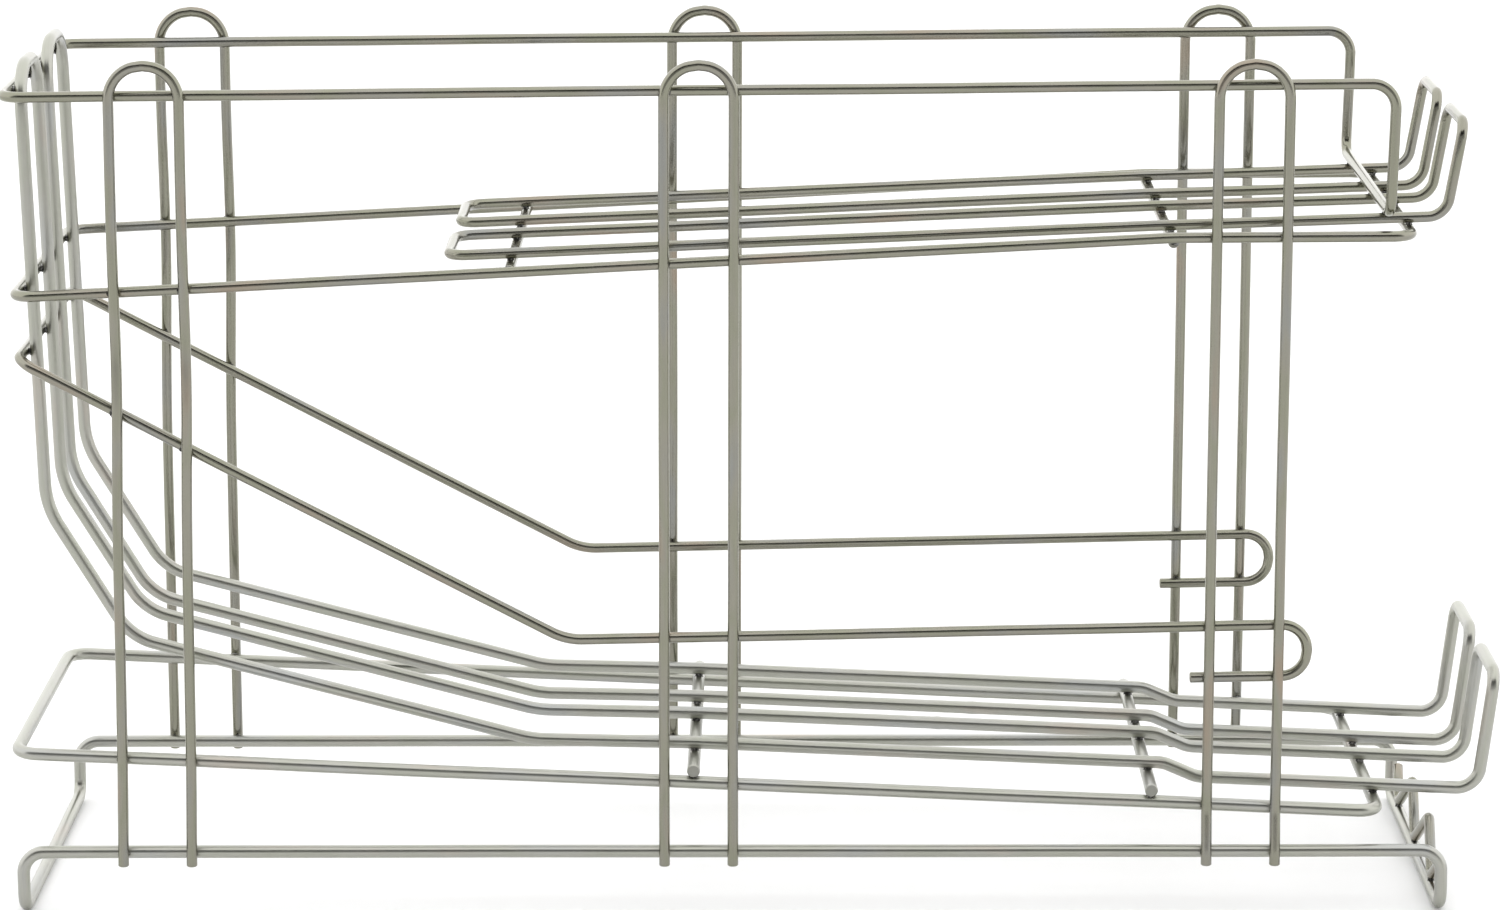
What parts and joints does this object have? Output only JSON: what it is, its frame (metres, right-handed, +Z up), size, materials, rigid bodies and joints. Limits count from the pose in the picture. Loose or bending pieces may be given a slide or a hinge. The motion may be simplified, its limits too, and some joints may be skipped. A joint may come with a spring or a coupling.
{
  "type": "gravity-feed can rack",
  "caption": "Welded wire gravity-feed rack: large cans roll back down an upper runway, drop at the rear and roll forward along a lower runway to the front stops.",
  "frame": {"origin": "centre of the footprint, on the surface the feet stand on", "axes": "+X towards the front, where cans go in above and come out below; +Y across the rack towards its right side; +Z up"},
  "size_m": [0.749, 0.2154, 0.4328],
  "materials": {
    "heavy_wire": "satin zinc plate",
    "thin_wire": "satin zinc plate"
  },
  "bodies": {
    "root": {"base_ring": "heavy_wire", "lower_ramp_ring": "heavy_wire", "upper_ramp_ring": "thin_wire", "top_ring": "thin_wire", "mid_guide": "thin_wire", "rear_upright_left": "thin_wire", "rear_upright_right": "thin_wire", "middle_upright_left": "thin_wire", "middle_upright_right": "thin_wire", "front_upright_left": "thin_wire", "front_upright_right": "thin_wire", "lower_runner_left": "heavy_wire", "lower_runner_right": "heavy_wire", "upper_runner_left": "thin_wire", "upper_runner_right": "thin_wire", "lower_cross_bar_rear": "heavy_wire", "lower_cross_bar_front": "heavy_wire", "upper_cross_bar_rear": "thin_wire", "upper_cross_bar_front": "thin_wire", "front_zigzag_wire": "thin_wire"}
  },
  "joints": []
}
